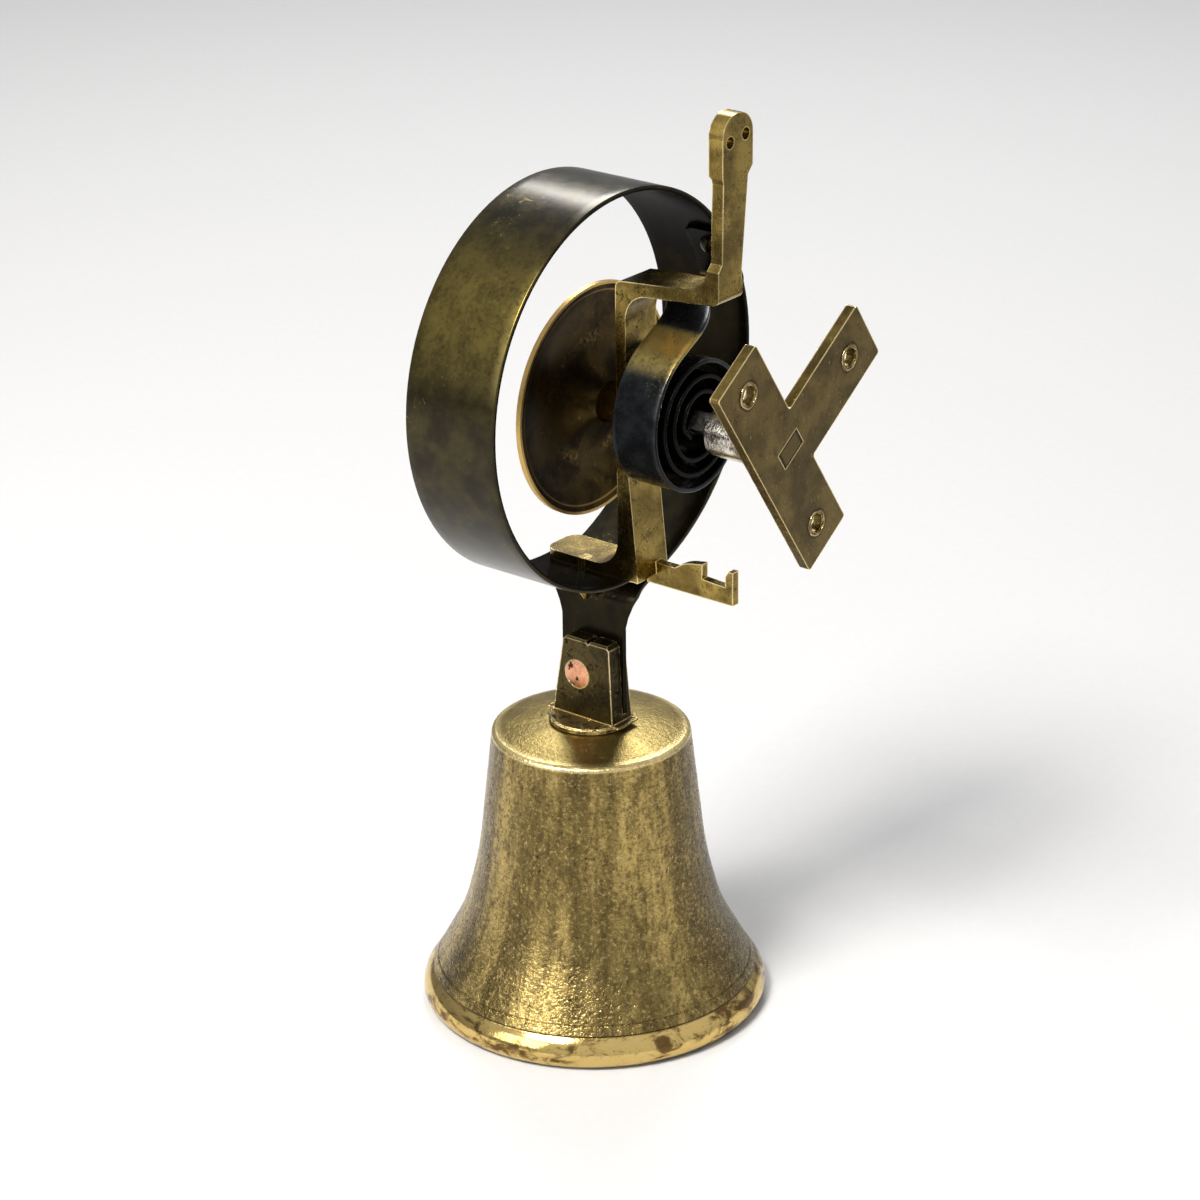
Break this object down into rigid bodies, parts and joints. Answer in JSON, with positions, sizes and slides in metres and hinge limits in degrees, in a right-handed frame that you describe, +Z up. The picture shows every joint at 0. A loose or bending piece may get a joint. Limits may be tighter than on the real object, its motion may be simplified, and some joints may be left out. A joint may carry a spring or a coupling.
{
  "type": "sprung servants bell",
  "caption": "Cast bell hung from a looped flat-steel spring on a pivoting brass carriage, with a coiled return spring, cover disc and T-shaped wall plate.",
  "frame": {"origin": "where the spindle's axis meets the wall face of the T-shaped wall plate", "axes": "+Y into the wall along the spindle, +Z up, +X to the right for somebody facing the wall"},
  "size_m": [0.0966, 0.0995, 0.2315],
  "materials": {
    "worked_brass": "filed cast brass, patinated, edges rubbed bright",
    "plate_brass": "sheet brass, dull greenish gold, scratched",
    "bell_brass": "rough-cast bell brass, dark in the pits, polished lip",
    "disc_brass": "spun brass, brown patina, bright rim",
    "black_spring": "blackened spring steel, worn gold in patches",
    "bright_steel": "turned metal, worn silvery",
    "copper": "copper rivet, rubbed bright",
    "iron": "dark wrought iron"
  },
  "bodies": {
    "wall_mount": {"wall_plate": "plate_brass", "spindle": "bright_steel", "cover_disc": "disc_brass", "spindle_nut": "worked_brass"},
    "carriage": {"carriage": "worked_brass", "return_coil": "black_spring", "bell_spring": "black_spring", "coil_rivet": "black_spring", "foot_rivet": "worked_brass", "foot_collar": "worked_brass"},
    "bell": {"bell_cup": "bell_brass", "bell_shank": "worked_brass", "shank_rivet": "copper", "crown_washer": "iron", "crown_nut": "iron", "clapper_staple": "iron"},
    "clapper": {"clapper_rod": "iron", "clapper_ball": "iron"}
  },
  "joints": [
    {"name": "carriage_swing", "type": "hinge", "parent": "wall_mount", "child": "carriage", "pos_m": [0, -0.048, 0], "axis": [0, 1, 0], "range_deg": [-15, 15], "stiffness_Nm_per_rad": 0.9, "deforming": ["return_coil"]},
    {"name": "bell_sway", "type": "hinge", "parent": "carriage", "child": "bell", "pos_m": [0.0016, -0.0567, -0.053], "axis": [0, 1, 0], "range_deg": [-8, 8], "stiffness_Nm_per_rad": 2.4, "deforming": ["bell_spring"]},
    {"name": "clapper_swing", "type": "hinge", "parent": "bell", "child": "clapper", "pos_m": [0.0032, -0.0567, -0.0997], "axis": [0, 1, 0], "range_deg": [-32, 32]}
  ]
}
